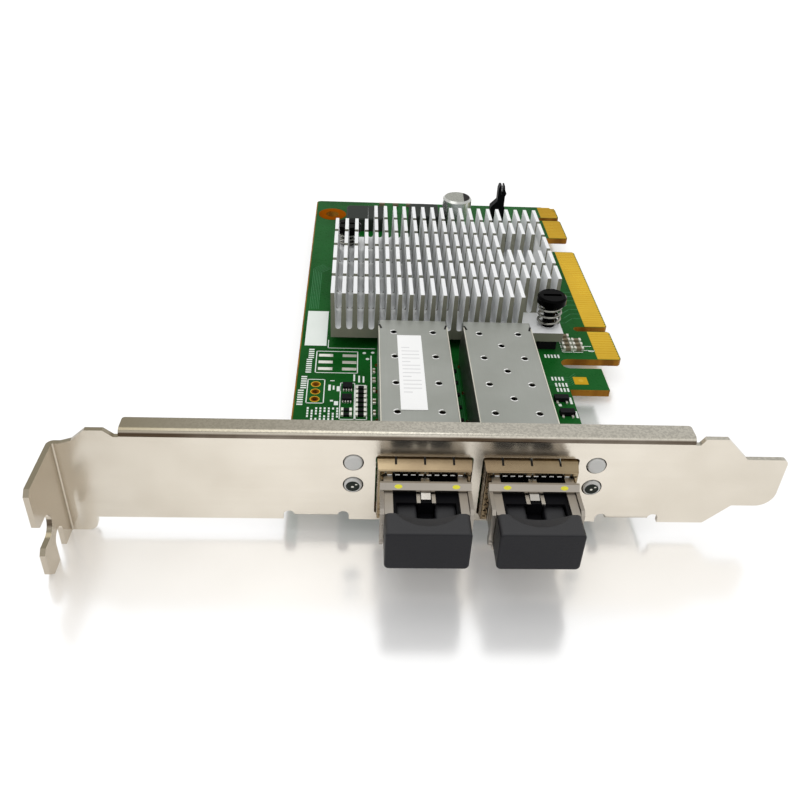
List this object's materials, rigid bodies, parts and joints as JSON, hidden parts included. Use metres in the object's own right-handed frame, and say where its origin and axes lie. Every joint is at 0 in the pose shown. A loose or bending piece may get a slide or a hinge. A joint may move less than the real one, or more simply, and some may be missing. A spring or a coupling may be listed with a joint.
{
  "type": "network interface card",
  "caption": "Optical network adapter card with a slotted bracket, caged ports with bailed transceivers and dust plugs, and a cross-cut heat sink on push pins.",
  "frame": {"origin": "centre of the bounding box in plan, at the height of the bracket's lowest edge", "axes": "+X along the bracket from its screw tab to its tongue, +Y from the ports back along the board, +Z out of the board's component side"},
  "size_m": [0.12, 0.143, 0.0214],
  "materials": {
    "bracket_steel": "satin",
    "board_green": "gloss",
    "contact_gold": "satin",
    "sink_aluminium": "satin",
    "chip_black": "matt",
    "pad_grey": "matt",
    "moulded_black": "matt",
    "can_aluminium": "satin",
    "coil_grey": "matt",
    "ceramic_tan": "matt",
    "label_paper": "matt",
    "nylon_black": "matt",
    "spring_steel": "polished",
    "cage_steel": "satin",
    "collar_alloy": "satin",
    "module_zinc": "satin",
    "latch_steel": "satin",
    "bail_steel": "satin",
    "plug_black": "matt",
    "lens_clear": "gloss",
    "screw_steel": "satin"
  },
  "bodies": {
    "board": {"array_chips": "chip_black", "bracket": "bracket_steel", "bracket_screw_left": "screw_steel", "bracket_screw_right": "screw_steel", "cage_label": "label_paper", "cage_left": "cage_steel", "cage_right": "cage_steel", "capacitor_base": "moulded_black", "capacitor_can": "can_aluminium", "chip_capacitors": "ceramic_tan", "chip_resistors": "chip_black", "controller_chip": "chip_black", "edge_contacts": "contact_gold", "emi_collar_left": "collar_alloy", "emi_collar_right": "collar_alloy", "heat_sink": "sink_aluminium", "host_connector_left": "moulded_black", "host_connector_right": "moulded_black", "lamp_housing_left": "moulded_black", "lamp_housing_right": "moulded_black", "lamp_lenses_left": "lens_clear", "lamp_lenses_right": "lens_clear", "lead_parts": "chip_black", "pcb": "board_green", "pin_spring_front": "spring_steel", "pin_spring_rear": "spring_steel", "power_coils": "coil_grey", "push_pin_front": "nylon_black", "push_pin_rear": "nylon_black", "rear_capacitors": "ceramic_tan", "split_post": "moulded_black", "thermal_pad": "pad_grey"},
    "transceiver_left": {"transceiver_left": "module_zinc", "transceiver_board_left": "board_green", "receptacle_left": "moulded_black", "latch_left": "latch_steel"},
    "bail_left": {"bail_left": "bail_steel"},
    "dust_plug_left": {"dust_plug_left": "plug_black"},
    "transceiver_right": {"transceiver_right": "module_zinc", "transceiver_board_right": "board_green", "receptacle_right": "moulded_black", "latch_right": "latch_steel"},
    "bail_right": {"bail_right": "bail_steel"},
    "dust_plug_right": {"dust_plug_right": "plug_black"}
  },
  "joints": [
    {"name": "transceiver_slide_left", "type": "slide", "parent": "board", "child": "transceiver_left", "axis": [0, -1, 0], "range_m": [0, 0.046]},
    {"name": "bail_hinge_left", "type": "hinge", "parent": "transceiver_left", "child": "bail_left", "pos_m": [-0.0003, -0.0661, 0.0077], "axis": [1, 0, 0], "range_deg": [0, 60]},
    {"name": "dust_plug_slide_left", "type": "slide", "parent": "transceiver_left", "child": "dust_plug_left", "axis": [0, -1, 0], "range_m": [0, 0.012]},
    {"name": "transceiver_slide_right", "type": "slide", "parent": "board", "child": "transceiver_right", "axis": [0, -1, 0], "range_m": [0, 0.046]},
    {"name": "bail_hinge_right", "type": "hinge", "parent": "transceiver_right", "child": "bail_right", "pos_m": [0.0171, -0.0661, 0.0077], "axis": [1, 0, 0], "range_deg": [0, 60]},
    {"name": "dust_plug_slide_right", "type": "slide", "parent": "transceiver_right", "child": "dust_plug_right", "axis": [0, -1, 0], "range_m": [0, 0.012]}
  ]
}
